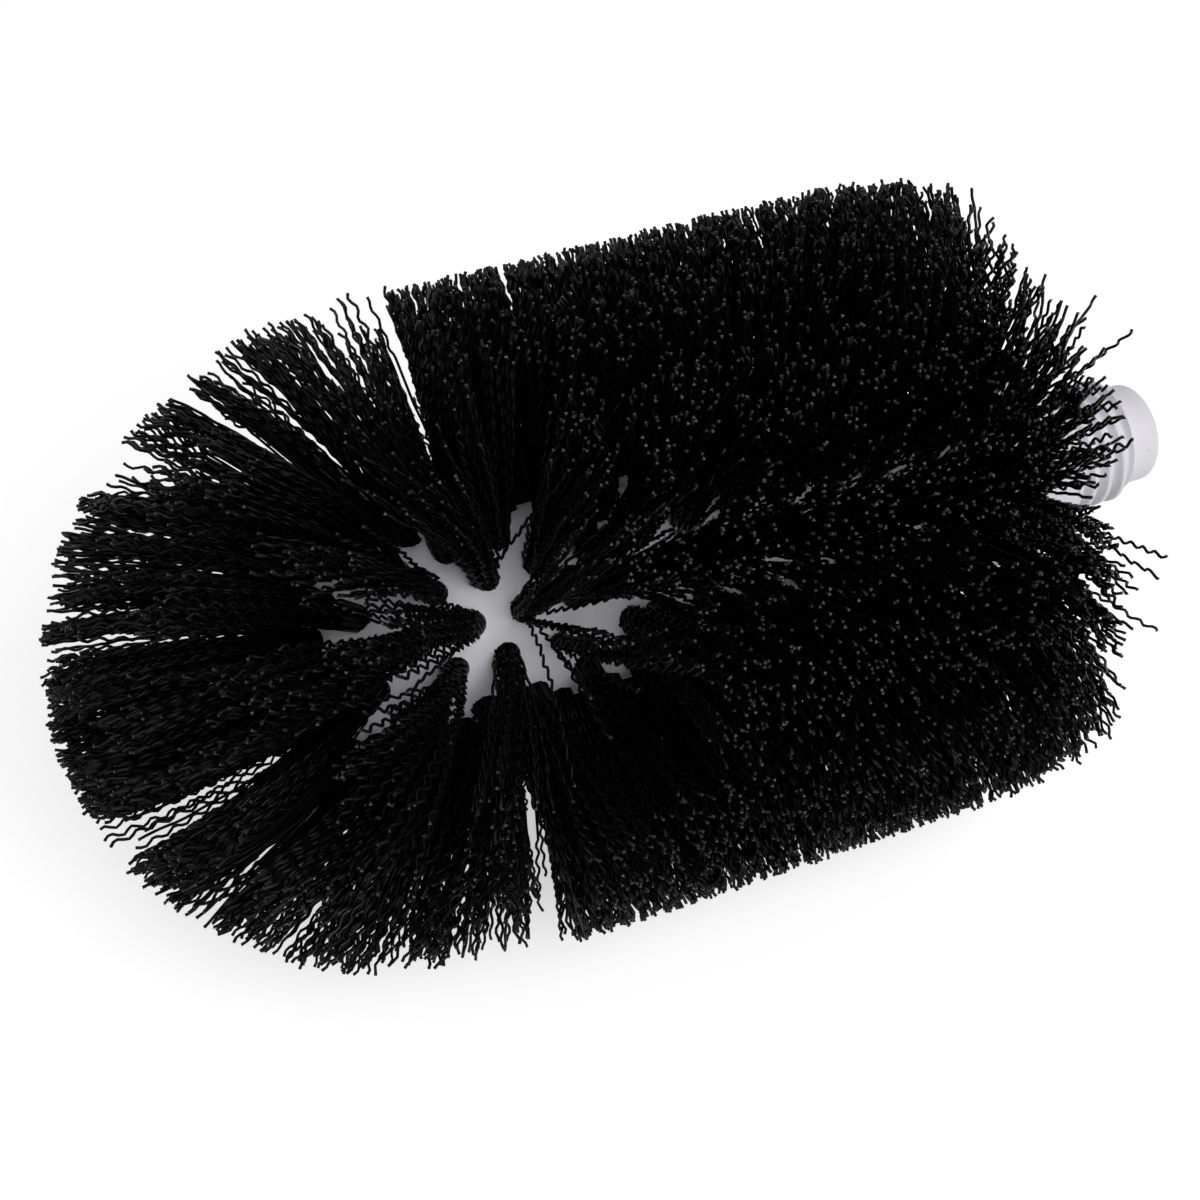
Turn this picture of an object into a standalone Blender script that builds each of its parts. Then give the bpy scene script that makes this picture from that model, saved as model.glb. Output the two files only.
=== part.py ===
"""A cylindrical floor drain brush, lying on its side as it does on a bench.

A white plastic block, a rod with a half-round nose, is drilled all over for tufts of black crimped filament.
A short flat wire anchor holds each folded tuft at the bottom of its hole. A male handle thread with a plain
pilot is turned on the block's rear end. The filament is trimmed to a cylinder with a half-round front.

Metres, +Z up. The brush's axis runs along X, from the nose at -X to the pilot at +X. The origin lies on the
surface that the brush rests on, under the middle of its length.

The block is modelled as a core with a flange at its rear, a threaded stub behind the flange, and a stack of slices
around the core. Each slice holds the tufts of two rings, or of the nose, and each tuft is drawn as two thick
strands that spread from its hole.
"""

import math

import bmesh
import bpy
import numpy as np
from mathutils import Matrix, Vector

# Fit
CLEARANCE = 0.0003

# Bristle outline
BRISTLE_RADIUS = 0.048
DOME_DIP = 0.0022
REST_CUT = 0.0005

# Block and its slices
BLOCK_RADIUS = 0.0143
SLICE_WALL = 0.0053
NOSE_BORE = 0.0043
SHOULDER_THICKNESS = 0.0070
FLANGE_ROUND = 0.0006
SEAT_MARGIN = 0.0003
SEAT_RELIEF = 0.0008

# Tuft pattern: rings alternate by half a tuft's spacing, and each slice carries two of them
TUFT_PITCH = 0.0037
TUFTS_AROUND = 8
TUFTS_NEAR_TIP = 4
RINGS_A_SLICE = 2
DOME_SLICES = 2
STRAIGHT_SLICES = 10
REAR_SLICES = 1
COLLAR_RINGS = 3
CAP_RINGS = 2
REAR_LEAN = math.radians(5.0)

# Strands, two for each tuft. FAN_SHARE is how far each leans aside, as a share of the turn between tufts
STRAND_ROOT = 0.00065
STRAND_TIP = 0.00095
STRAND_SPACING = 0.0022
STRAND_SINK = 0.0012
STRAND_SIDES = 3
FAN_SHARE = 1 / 8

# Handle thread
THREAD_RADIUS = 0.019050 / 2
THREAD_ROOT = 0.0158 / 2
THREAD_PITCH = 0.00254
THREAD_LENGTH = 0.0141
THREAD_CREST = 0.0005
THREAD_FLANK = math.radians(27.5)
THREAD_FOOT_SHARE = 0.49
THREAD_FADE_TURNS = 0.25
PILOT_RADIUS = 0.0153 / 2
PILOT_LENGTH = 0.0052
PILOT_ROUND = 0.0016

# Wire anchors
ANCHOR_LENGTH = 0.0044
ANCHOR_THICKNESS = 0.0004
ANCHOR_HEIGHT = 0.0016
FIRST_ANCHOR_RING = 3
ANCHOR_RINGS = 5

# Faceting
BLOCK_SEGMENTS = 24
STUB_SEGMENTS = 36
NOSE_ARC_STEPS = 6
THREAD_STEPS_A_TURN = 24

# Worked out from the above
SLICE_BORE = BLOCK_RADIUS - SLICE_WALL
CORE_RADIUS = SLICE_BORE - CLEARANCE
DOME_RINGS = DOME_SLICES * RINGS_A_SLICE
STRAIGHT_RINGS = STRAIGHT_SLICES * RINGS_A_SLICE
REAR_RINGS = REAR_SLICES * RINGS_A_SLICE
SLICES = DOME_SLICES + STRAIGHT_SLICES + REAR_SLICES
SLICE_LENGTH = RINGS_A_SLICE * TUFT_PITCH
BODY_LENGTH = SLICES * SLICE_LENGTH
NOSE_RINGS = COLLAR_RINGS + CAP_RINGS + 1
SHOULDER_X = BODY_LENGTH + CLEARANCE + SHOULDER_THICKNESS
SEAT_RADIUS = THREAD_RADIUS + SEAT_MARGIN
RELIEF_X = SHOULDER_X - SEAT_RELIEF
PILOT_X = SHOULDER_X + THREAD_LENGTH
END_X = PILOT_X + PILOT_LENGTH
MIDDLE_X = (END_X - BRISTLE_RADIUS) / 2
AXIS_HEIGHT = BRISTLE_RADIUS - REST_CUT
RING_STEP_ANGLE = math.pi / 2 / NOSE_RINGS
FULL_TURN = 2 * math.pi


def material(name, colour, roughness, metallic=0.0):
    """A Principled material of one colour."""
    made = bpy.data.materials.new(name)
    made.use_nodes = True
    shader = made.node_tree.nodes["Principled BSDF"]
    shader.inputs["Base Color"].default_value = (*colour, 1.0)
    shader.inputs["Roughness"].default_value = roughness
    shader.inputs["Metallic"].default_value = metallic
    made.diffuse_color = (*colour, 1.0)
    return made


def add_object(name, mesh, finish, parent):
    """An object of this mesh, carried by the brush's axis."""
    made = bpy.data.objects.new(name, mesh)
    bpy.context.scene.collection.objects.link(made)
    mesh.materials.append(finish)
    made.parent = parent
    return made


def hide_helper(made):
    """Marks an object as a cutter or a joining shape, which is no piece of the brush."""
    made.hide_render = True
    made.display_type = "WIRE"
    return made


def boolean(target, other, operation):
    """Joins or cuts one object with a helper."""
    modifier = target.modifiers.new(operation.title(), "BOOLEAN")
    modifier.operation = operation
    modifier.object = hide_helper(other)
    return modifier


def turned(name, outline, segments):
    """A mesh of the closed outline, points (x, radius) taken front to rear along the outside, turned about X.

    An outline that starts and ends on the axis is solid. One that doesn't is a ring.
    """
    solid = outline[0][1] == 0 and outline[-1][1] == 0
    bm = bmesh.new()
    columns = []
    for k in range(segments):
        angle = FULL_TURN * k / segments
        rim = outline[1:-1] if solid else outline
        columns.append(
            [bm.verts.new((x, r * math.cos(angle), r * math.sin(angle))) for x, r in rim]
        )
    for k, column in enumerate(columns):
        after = columns[(k + 1) % segments]
        last = len(column) if not solid else len(column) - 1
        for i in range(last):
            j = (i + 1) % len(column)
            bm.faces.new((column[i], column[j], after[j], after[i]))
    if solid:
        front = bm.verts.new((outline[0][0], 0, 0))
        rear = bm.verts.new((outline[-1][0], 0, 0))
        for k, column in enumerate(columns):
            after = columns[(k + 1) % segments]
            bm.faces.new((front, column[0], after[0]))
            bm.faces.new((rear, after[-1], column[-1]))
    return finish_mesh(name, bm)


def finish_mesh(name, bm):
    """Writes the edit mesh out, its faces turned outwards and its round sides smooth."""
    bmesh.ops.recalc_face_normals(bm, faces=bm.faces)
    mesh = bpy.data.meshes.new(name)
    bm.to_mesh(mesh)
    bm.free()
    mesh.shade_smooth()
    mesh.set_sharp_from_angle(angle=math.radians(40))
    return mesh


def arc(centre, radius, start, end, steps):
    """Points (x, radius) along a round edge, angles measured from +X."""
    return [
        (centre[0] + radius * math.cos(a), centre[1] + radius * math.sin(a))
        for a in np.linspace(start, end, steps + 1)
    ]


def around(x, radius, angle):
    """The point at this place along the axis, distance from it and turn about it."""
    return Vector((x, radius * math.cos(angle), radius * math.sin(angle)))


def ring_place(ring):
    """How far along the axis a ring of tufts stands, counted from the nose's equator."""
    return (ring + 0.5) * TUFT_PITCH


def ring_angles(ring, count=TUFTS_AROUND):
    """The turn of each tuft of a ring. Odd rings are turned by half a spacing."""
    spacing = FULL_TURN / count
    first = spacing / 2 if ring % 2 else 0.0
    return [first + spacing * k for k in range(count)]


def tip_on_outline(travel):
    """(x, radius) on the trimmed outline. travel runs rearwards along it from the dome's equator.

    The dome is trimmed closer than the straight part by DOME_DIP at its equator, and not at all at its tip.
    """
    if travel >= 0:
        return travel, BRISTLE_RADIUS
    polar = math.pi / 2 + travel / BRISTLE_RADIUS
    radius = BRISTLE_RADIUS - DOME_DIP * math.sin(polar) ** 2
    return -radius * math.cos(polar), radius * math.sin(polar)


def dome_tip(rings_ahead):
    """Where a ring's strands end, so many rings ahead of the first straight one.

    The rings share the outline evenly, from the first straight ring to the tip of the nose.
    """
    first_straight = ring_place(DOME_RINGS)
    whole = first_straight + BRISTLE_RADIUS * math.pi / 2
    return tip_on_outline(first_straight - whole * rings_ahead / (DOME_RINGS + NOSE_RINGS))


def rear_tip(place, number):
    """Where a rear ring's strands end: the last rings lean forwards, each further than the one before."""
    lean = REAR_LEAN * (number + 1) / REAR_RINGS
    length = BRISTLE_RADIUS - BLOCK_RADIUS
    return place - length * math.sin(lean), BLOCK_RADIUS + length * math.cos(lean)


def body_ring(ring):
    """(x, radius, tip x, tip radius) for a ring on the block's straight part."""
    place = ring_place(ring)
    rear = ring - DOME_RINGS - STRAIGHT_RINGS
    if ring < DOME_RINGS:
        tip = dome_tip(DOME_RINGS - ring)
    elif rear >= 0:
        tip = rear_tip(place, rear)
    else:
        tip = (place, BRISTLE_RADIUS)
    return (place, BLOCK_RADIUS, *tip)


def nose_ring(ring):
    """(x, radius, tip x, tip radius) for a ring on the half-round nose, 0 next to the equator."""
    polar = math.pi / 2 - (ring + 0.5) * RING_STEP_ANGLE
    root = (-BLOCK_RADIUS * math.cos(polar), BLOCK_RADIUS * math.sin(polar))
    return (*root, *dome_tip(DOME_RINGS + ring + 1))


def add_strand(bm, root, tip):
    """One tapered strand, its root sunk into the slice, cut off at the surface that the brush rests on."""
    way = (tip - root).normalized()
    inward = Vector((1.0, 0.0, 0.0))
    along_axis = math.hypot(tip.y, tip.z) == 0
    side = way.orthogonal() if along_axis else inward - way * inward.dot(way)
    side.normalize()
    other = way.cross(side)
    ends = []
    for place, radius in ((root - way * STRAND_SINK, STRAND_ROOT), (tip, STRAND_TIP)):
        corners = []
        for k in range(STRAND_SIDES):
            turn = FULL_TURN * k / STRAND_SIDES
            corner = place + (side * math.cos(turn) + other * math.sin(turn)) * radius
            if corner.z < -AXIS_HEIGHT:
                corner -= way * ((corner.z + AXIS_HEIGHT) / way.z)
            corners.append(bm.verts.new(corner))
        ends.append(corners)
    inner, outer = ends
    bm.faces.new(list(reversed(inner)))
    bm.faces.new(outer)
    for k in range(STRAND_SIDES):
        j = (k + 1) % STRAND_SIDES
        bm.faces.new((inner[k], inner[j], outer[j], outer[k]))


def add_tuft(bm, shape, angle, fan):
    """The two strands of a tuft, side by side in its hole and fan apart at their tips."""
    x, radius, tip_x, tip_radius = shape
    apart = STRAND_SPACING / 2 / radius
    for side in (-1, 1):
        root = around(x, radius, angle + side * apart)
        tip = around(tip_x, tip_radius, angle + side * fan)
        add_strand(bm, root, tip)


def tufts_of(name, rings, parent, finish):
    """A helper that holds every strand of these rings, each given as (shape, angles)."""
    bm = bmesh.new()
    for shape, angles in rings:
        for angle in angles:
            add_tuft(bm, shape, angle, FULL_TURN / len(angles) * FAN_SHARE)
    return add_object(name, finish_mesh(name, bm), finish, parent)


def slice_outline(front, rear):
    """A ring of the block between two places along the axis, as a closed outline."""
    return [(front, BLOCK_RADIUS), (rear, BLOCK_RADIUS), (rear, SLICE_BORE), (front, SLICE_BORE)]


def make_tuft_row(number, name, parent, finish):
    """One slice of the block with the tufts of its two rings."""
    front = number * SLICE_LENGTH + CLEARANCE / 2
    rear = (number + 1) * SLICE_LENGTH - CLEARANCE / 2
    mesh = turned(name, slice_outline(front, rear), BLOCK_SEGMENTS)
    row = add_object(name, mesh, finish, parent)
    first = number * RINGS_A_SLICE
    rings = [(body_ring(ring), ring_angles(ring)) for ring in range(first, first + RINGS_A_SLICE)]
    boolean(row, tufts_of(name + "_strands", rings, parent, finish), "UNION")
    return row


def nose_split():
    """Where the nose's collar ends and its cap begins, half way between two rings."""
    return -BLOCK_RADIUS * math.sin(COLLAR_RINGS * RING_STEP_ANGLE)


def nose_arc(front, rear):
    """Points of the half-round nose from one place along the axis to another, front first."""
    start = math.acos(-front / BLOCK_RADIUS)
    end = math.acos(-rear / BLOCK_RADIUS)
    return [
        (-BLOCK_RADIUS * math.cos(a), BLOCK_RADIUS * math.sin(a))
        for a in np.linspace(start, end, NOSE_ARC_STEPS + 1)
    ]


def make_nose_collar(parent, finish):
    """The rear part of the nose, bored to slip over the core's front end."""
    name = "tuft_row_nose_collar"
    rear = -CLEARANCE / 2
    front = nose_split() + CLEARANCE / 2
    outline = [(front, 0.0), *nose_arc(front, rear), (rear, SLICE_BORE)]
    outline += [(-NOSE_BORE, SLICE_BORE), (-NOSE_BORE, 0.0)]
    collar = add_object(name, turned(name, outline, BLOCK_SEGMENTS), finish, parent)
    rings = [(nose_ring(ring), ring_angles(ring)) for ring in range(COLLAR_RINGS)]
    boolean(collar, tufts_of(name + "_strands", rings, parent, finish), "UNION")
    return collar


def make_nose_cap(parent, finish):
    """The tip of the nose, with a ring of eight tufts, a ring of four and one on the axis."""
    name = "tuft_row_nose_cap"
    rear = nose_split() - CLEARANCE / 2
    outline = [*nose_arc(-BLOCK_RADIUS, rear), (rear, 0.0)]
    cap = add_object(name, turned(name, outline, BLOCK_SEGMENTS), finish, parent)
    wide, near_tip = COLLAR_RINGS, COLLAR_RINGS + CAP_RINGS - 1
    rings = [(nose_ring(ring), ring_angles(ring)) for ring in range(wide, near_tip)]
    rings.append((nose_ring(near_tip), ring_angles(near_tip, TUFTS_NEAR_TIP)))
    strands = tufts_of(name + "_strands", rings, parent, finish)
    bm = bmesh.new()
    bm.from_mesh(strands.data)
    add_strand(bm, Vector((-BLOCK_RADIUS, 0, 0)), Vector((-BRISTLE_RADIUS, 0, 0)))
    bm.to_mesh(strands.data)
    bm.free()
    boolean(cap, strands, "UNION")
    return cap


def thread_ridge(parent, finish):
    """The thread's ridge: a trapezium carried along a helix, sunk at both ends into the stub.

    Its half width at the foot stays under half the pitch, so that its turns don't run into each other.
    """
    buried = THREAD_ROOT - THREAD_CREST / 2
    hidden = (THREAD_ROOT + buried) / 2
    depth = THREAD_RADIUS - buried
    half_crest = THREAD_CREST / 2
    half_foot = min(half_crest + depth * math.tan(THREAD_FLANK), THREAD_FOOT_SHARE * THREAD_PITCH)
    start = SHOULDER_X + CLEARANCE + half_foot
    end = PILOT_X - half_foot
    turns = (end - start) / THREAD_PITCH
    steps = max(2, round(turns * THREAD_STEPS_A_TURN))
    bm = bmesh.new()
    stations = []
    for k in range(steps + 1):
        turn = turns * k / steps
        centre = start + THREAD_PITCH * turn
        fade = min(1.0, turn / THREAD_FADE_TURNS, (turns - turn) / THREAD_FADE_TURNS)
        top = hidden + (THREAD_RADIUS - hidden) * fade
        angle = FULL_TURN * turn
        outline = ((-half_foot, buried), (-half_crest, top), (half_crest, top), (half_foot, buried))
        stations.append([bm.verts.new(around(centre + dx, r, angle)) for dx, r in outline])
    for before, after in zip(stations, stations[1:]):
        for i in range(4):
            j = (i + 1) % 4
            bm.faces.new((before[i], before[j], after[j], after[i]))
    bm.faces.new(stations[0])
    bm.faces.new(list(reversed(stations[-1])))
    return add_object("thread_ridge", finish_mesh("thread_ridge", bm), finish, parent)


def anchor_seat(bm, place, angle, spare):
    """A box for a wire anchor, or with spare added all round for the pocket that it sits in."""
    length = ANCHOR_LENGTH + 2 * spare
    width = ANCHOR_THICKNESS + 2 * spare
    top = CORE_RADIUS - CLEARANCE
    if spare:
        top = BLOCK_RADIUS
    bottom = CORE_RADIUS - CLEARANCE - ANCHOR_HEIGHT - spare
    made = bmesh.ops.create_cube(bm, size=1.0)
    turn = Matrix.Rotation(angle - math.pi / 2, 4, "X")
    shift = Matrix.Translation((place, 0.0, (top + bottom) / 2))
    size = Matrix.Diagonal((length, width, top - bottom, 1.0))
    bmesh.ops.transform(bm, matrix=turn @ shift @ size, verts=made["verts"])


def anchored_tufts():
    """(ring, number, angle) of each tuft whose anchor is its own piece."""
    for ring in range(FIRST_ANCHOR_RING, FIRST_ANCHOR_RING + ANCHOR_RINGS):
        for number, angle in enumerate(ring_angles(ring), 1):
            yield ring, number, angle


def make_block(parent, finish):
    """The core of the block and its rear flange.

    A handle seats on the flange's flat ring. The stub stands in the shallow relief inside it.
    """
    outline = [(-NOSE_BORE + CLEARANCE, 0.0), (-NOSE_BORE + CLEARANCE, CORE_RADIUS)]
    outline += [(BODY_LENGTH + CLEARANCE / 2, CORE_RADIUS)]
    outline += [(BODY_LENGTH + CLEARANCE / 2, BLOCK_RADIUS)]
    corner = (SHOULDER_X - FLANGE_ROUND, BLOCK_RADIUS - FLANGE_ROUND)
    outline += arc(corner, FLANGE_ROUND, math.pi / 2, 0.0, 2)
    outline += [(SHOULDER_X, SEAT_RADIUS), (RELIEF_X, SEAT_RADIUS), (RELIEF_X, 0.0)]
    mesh = turned("brush_block", outline, STUB_SEGMENTS)
    block = add_object("brush_block", mesh, finish, parent)
    bm = bmesh.new()
    for ring, _, angle in anchored_tufts():
        anchor_seat(bm, ring_place(ring), angle, CLEARANCE)
    cutter = add_object("anchor_pockets", finish_mesh("anchor_pockets", bm), finish, parent)
    boolean(block, cutter, "DIFFERENCE")
    return block


def make_stub(parent, finish):
    """The stub that a handle screws on to: the thread, and a plain pilot with a rounded edge behind it."""
    front = RELIEF_X + CLEARANCE
    outline = [(front, 0.0), (front, THREAD_ROOT), (PILOT_X, THREAD_ROOT), (PILOT_X, PILOT_RADIUS)]
    corner = (END_X - PILOT_ROUND, PILOT_RADIUS - PILOT_ROUND)
    outline += arc(corner, PILOT_ROUND, math.pi / 2, 0.0, 4)
    outline += [(END_X, 0.0)]
    mesh = turned("handle_stub", outline, STUB_SEGMENTS)
    stub = add_object("handle_stub", mesh, finish, parent)
    boolean(stub, thread_ridge(parent, finish), "UNION")
    return stub


def make_anchors(parent, finish):
    """The wire anchors of the rings beside the parting, each in its pocket."""
    for ring, number, angle in anchored_tufts():
        name = f"anchor_ring{ring + 1:02d}_{number}"
        bm = bmesh.new()
        anchor_seat(bm, ring_place(ring), angle, 0.0)
        add_object(name, finish_mesh(name, bm), finish, parent)


def main():
    """Clears the scene and makes the brush."""
    for old in list(bpy.data.objects):
        bpy.data.objects.remove(old)
    axis = bpy.data.objects.new("brush_axis", None)
    axis.location = (-MIDDLE_X, 0.0, AXIS_HEIGHT)
    bpy.context.scene.collection.objects.link(axis)
    white = material("white_plastic", (0.80, 0.79, 0.83), 0.38)
    black = material("black_filament", (0.012, 0.012, 0.014), 0.42)
    steel = material("anchor_wire", (0.62, 0.61, 0.58), 0.32, 1.0)
    make_block(axis, white)
    make_stub(axis, white)
    make_nose_cap(axis, black)
    make_nose_collar(axis, black)
    for number in range(SLICES):
        make_tuft_row(number, f"tuft_row_{number + 1:02d}", axis, black)
    make_anchors(axis, steel)


main()
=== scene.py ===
"""The looks of a floor drain brush: a white block full of black crimped filament, lying on a pale floor.

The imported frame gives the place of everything. The block is drawn as one turned piece with its drilled holes
and its thread, and each row of tufts as about six hundred crimped filaments, which stand for that row's thick
strands.

Places are written as (s, radius, up): s runs along the axis from the nose's equator towards the thread, and
up is the turn in radians from the side that faces the camera, -Y, towards the top.
"""

import math

import bpy
import numpy as np
from bpy.props import FloatProperty, FloatVectorProperty, IntProperty, PointerProperty
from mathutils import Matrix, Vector


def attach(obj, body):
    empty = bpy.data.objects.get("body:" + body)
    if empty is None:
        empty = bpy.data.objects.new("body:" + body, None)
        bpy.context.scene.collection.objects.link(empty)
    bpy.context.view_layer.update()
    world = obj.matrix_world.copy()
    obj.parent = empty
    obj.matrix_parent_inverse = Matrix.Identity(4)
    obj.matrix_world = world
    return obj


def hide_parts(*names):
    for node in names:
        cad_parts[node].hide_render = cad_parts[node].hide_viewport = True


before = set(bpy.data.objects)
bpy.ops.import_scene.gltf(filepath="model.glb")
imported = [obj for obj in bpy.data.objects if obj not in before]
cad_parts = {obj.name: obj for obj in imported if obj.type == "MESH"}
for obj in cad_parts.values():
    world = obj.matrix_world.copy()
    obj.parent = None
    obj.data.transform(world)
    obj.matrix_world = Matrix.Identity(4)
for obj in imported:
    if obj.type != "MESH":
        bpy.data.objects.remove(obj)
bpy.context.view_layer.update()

bl_info = {
    "name": "Floor drain brush",
    "version": (1, 0, 0),
    "blender": (4, 5, 0),
    "location": "3D View > Sidebar > Drain Brush",
    "description": "Draws a floor drain brush with crimped filament on its packed frame",
    "category": "Add Mesh",
}

BODY = "root"
MM = 0.001
FULL_TURN = 2 * math.pi

# The brush's axis and the trimmed outline of its bristles. The dome is trimmed closer, most at its rear
EQUATOR_X = -37.4 * MM
AXIS_HEIGHT = 47.5 * MM
BRISTLE_RADIUS = 48 * MM
DOME_DIP = 2.2 * MM
DOME_END = 5.5 * MM
NOTCH = 3.6 * MM

# The block
BLOCK_RADIUS = 14.3 * MM
TUFT_PITCH = 3.7 * MM
TUFTS_AROUND = 8
DOME_RINGS = 4
BODY_RINGS = 26
NOSE_TUFTS = (8, 8, 8, 8, 4, 1)
RING_STEP_ANGLE = math.pi / 2 / len(NOSE_TUFTS)
SHOULDER_X = 103.5 * MM
PILOT_X = 117.6 * MM
END_X = 122.8 * MM
PILOT_RADIUS = 7.65 * MM
PILOT_ROUND = 1.6 * MM
THREAD_RADIUS = 9.525 * MM
THREAD_ROOT = 7.9 * MM
THREAD_PITCH = 2.54 * MM
THREAD_FOOT = 1.12 * MM
THREAD_FLANK = 0.87 * MM
THREAD_STEP = 0.13 * MM
SEAT_RADIUS = 9.825 * MM
SEAT_RELIEF = 0.8 * MM
EDGE_ROUND = 0.6 * MM
HOLE_RADIUS = 1.9 * MM
HOLE_DEPTH = 7.6 * MM
NOSE_HOLE_DEPTH = 5.0 * MM
STEPS_A_RING = 8
BLOCK_COLUMNS = 168
SHARP = math.radians(50)

# The wire anchors
ANCHOR_LENGTH = 4.4 * MM
ANCHOR_THICKNESS = 0.4 * MM
ANCHOR_HEIGHT = 1.6 * MM
CAD_ANCHOR_RINGS = range(3, 8)

# How a tuft's filaments end: their spread along the outline in mm and round it in degrees, how much shorter
# and how uneven they are in mm, and how far each strays in times RANDOM_SPREAD
STRAIGHT = {"along": 4.6, "round": 11.4, "short": 0.0, "ragged": 0.5, "scatter": 1.1}
DOME = {"along": 5.0, "round": 10.3, "short": 0.0, "ragged": 1.7, "scatter": 2.3}
RANDOM_SPREAD = 1.3 * MM
FILAMENT_LENGTH = 40 * MM
FULL_TUFT = 40
FULLER = 1.25
TIP_SPREAD = 1.4

# The last rings by number, and where along the outline they end in mm
LOOSE = {"ragged": 1.1, "scatter": 1.5}
REAR = {
    22: {"travel": 83.2, "short": 0.6, **LOOSE},
    23: {"travel": 86.0, "short": 1.0, **LOOSE},
    24: {"travel": 88.0, "along": 3.0, "round": 17.0, "short": 1.6, **LOOSE},
    25: {"travel": 89.6, "along": 3.0, "round": 17.0, "short": 2.0, **LOOSE},
}

# Tufts that stand otherwise than their ring, by (ring, up in degrees), in mm and degrees
ODD_TUFTS = {
    (1, 22.5): {"along": 7.0, "round": 12.0},
    (1, 112.5): {"travel": -9.5, "end_up": 115.0, "along": 6.0, "round": 12.0, "short": -2.4},
    (2, 0.0): {"up": -8.0, "end_up": -4.0},
    (2, 45.0): {"travel": -9.0, "end_up": 47.0, "along": 5.5, "round": 8.0},
    (2, 90.0): {"travel": 0.5, "along": 5.5},
    (2, 135.0): {"travel": -2.5, "along": 6.5, "short": -2.0},
    (3, 22.5): {"travel": 3.0, "end_up": 14.0, "along": 5.0, "round": 7.0},
    (3, 67.5): {"travel": 1.5, "end_up": 68.0, "along": 7.0, "round": 6.0},
    (3, 112.5): {"short": -1.2},
    (4, 0.0): {"up": -9.0, "end_up": -5.0},
    (4, 45.0): {"travel": 20.5, "end_up": 50.0, "along": 8.5, "round": 11.0},
    (4, 90.0): {"travel": 15.0, "along": 6.0},
    (5, 22.5): {"travel": 22.0, "end_up": 33.0, "along": 8.0, "round": 7.0, "count": 14},
    (5, 112.5): {"up": 121.0},
    (7, 22.5): {"s": 31.4, "travel": 33.0},
    (24, 45.0): {"travel": 90.5, "end_up": 52.0, "round": 12.0},
    (25, 67.5): {"travel": 90.8, "end_up": 64.0},
    (25, 22.5): {"travel": 86.6},
}

# Single filaments that stand clear of the rear rows or cross the bare patch: the ring and the turn of each
# one's tuft, and where it ends, as s in mm and up in degrees
STRAY = {"along": 0.0, "round": 0.0, "short": 0.3, "ragged": 0.0, "scatter": 0.0, "count": 1}
STRAYS = (
    (25, 67.5, 99.0, 62.2),
    (25, 22.5, 95.4, 25.4),
    (25, 22.5, 93.9, 22.5),
    (4, 45.0, 9.9, 17.7),
    (4, 45.0, 15.3, 24.0),
    (3, 67.5, 19.5, 64.1),
    (1, 67.5, -10.5, 65.4),
    (1, 67.5, -6.8, 65.3),
)

# Clefts, all open straight towards the eye. Each kind has how far in it goes in mm, how near its plane in mm
# a tuft's root lies for each filament's own end to choose its side, the share of a filament where it begins,
# and the share of the filaments that cross it
EYE = (-0.0841, -0.1918, 0.2515)
BETWEEN_ROWS = (200, 1.6, 0.5, 0.15)
BETWEEN_FANS = (200, 4.5, 0.7, 0.15)
ACROSS_NOSE = (200, 3.0, 0.4, 0.08)
OVER_PATCH = (40, 1.6, 0.3, 0.09)
WITHIN_FAN = (39, 100.0, 0.3, 0.12)

# Each cleft: one end and the other on the outline, as s in mm and up in degrees, its widths there in mm and
# its kind
CLEFTS = (
    ((-20.3, 108.8), (-12.1, 79.0), (1.4, 0.6), BETWEEN_FANS),
    ((-13.3, 95.4), (-5.0, 71.1), (1.1, 0.5), BETWEEN_FANS),
    ((-27.9, 101.7), (-22.7, 85.1), (0.8, 0.4), BETWEEN_FANS),
    ((-33.8, 101.2), (-28.8, 93.0), (0.8, 0.4), BETWEEN_FANS),
    ((5.3, 98.0), (4.7, 65.1), (0.6, 0.5), BETWEEN_ROWS),
    ((4.2, 26.3), (4.2, 11.0), (0.4, 1.0), BETWEEN_ROWS),
    ((4.2, 11.0), (7.1, -18.9), (1.0, 2.4), BETWEEN_ROWS),
    ((-8.6, 40.6), (-23.1, 34.3), (2.4, 1.3), BETWEEN_ROWS),
    ((-23.1, 34.3), (-42.7, 2.3), (1.6, 3.2), ACROSS_NOSE),
    ((-43.4, 98.3), (-32.4, 66.5), (0.8, 0.3), BETWEEN_ROWS),
    ((-44.8, 91.2), (-34.5, 62.1), (0.8, 0.3), BETWEEN_ROWS),
    ((-30.8, 8.6), (-22.2, 26.4), (0.8, 0.3), BETWEEN_FANS),
    ((-20.0, 53.1), (-6.3, 48.3), (1.4, 1.2), OVER_PATCH),
    ((11.7, 61.9), (8.7, 49.1), (3.2, 2.8), OVER_PATCH),
    ((22.2, 40.4), (11.6, 44.9), (3.8, 2.2), OVER_PATCH),
    ((-5.8, 59.8), (6.3, 49.0), (1.6, 3.0), OVER_PATCH),
    ((-2.7, 36.2), (3.6, 43.4), (2.2, 3.4), OVER_PATCH),
    ((11.4, 32.1), (8.3, 41.9), (4.4, 3.2), OVER_PATCH),
    ((22.4, 57.8), (15.0, 49.6), (1.6, 1.0), WITHIN_FAN),
    ((33.5, 53.5), (21.7, 50.4), (2.0, 1.0), WITHIN_FAN),
)
LARGEST_SHIFT = 5 * MM

# How wide the filaments crowd beside a cleft, in times its half width, in each round of moving them
CROWDING = (3, 1, 1)

# How finely tufts are drawn: FINE near the middle of the bare patch, over the block's skin, and where an odd
# one shows, OPEN in the parting that faces the camera and below the patch
FINE, OPEN, MIDDLE, COARSE = 3, 2, 1, 0
PATCH = (12 * MM, math.radians(46))
FINE_REACH = 14 * MM
FINE_UP, SEEN_UP = 100, 130
OPEN_UP = (20, 70)
RINGS_BELOW_PATCH = range(3, 10)
FIRST_FULLER_RING = 8
STEPS_A_WAVE = {FINE: 5.4, OPEN: 3.6, MIDDLE: 2.6}
TIP_STEPS_A_WAVE = 4

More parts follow.
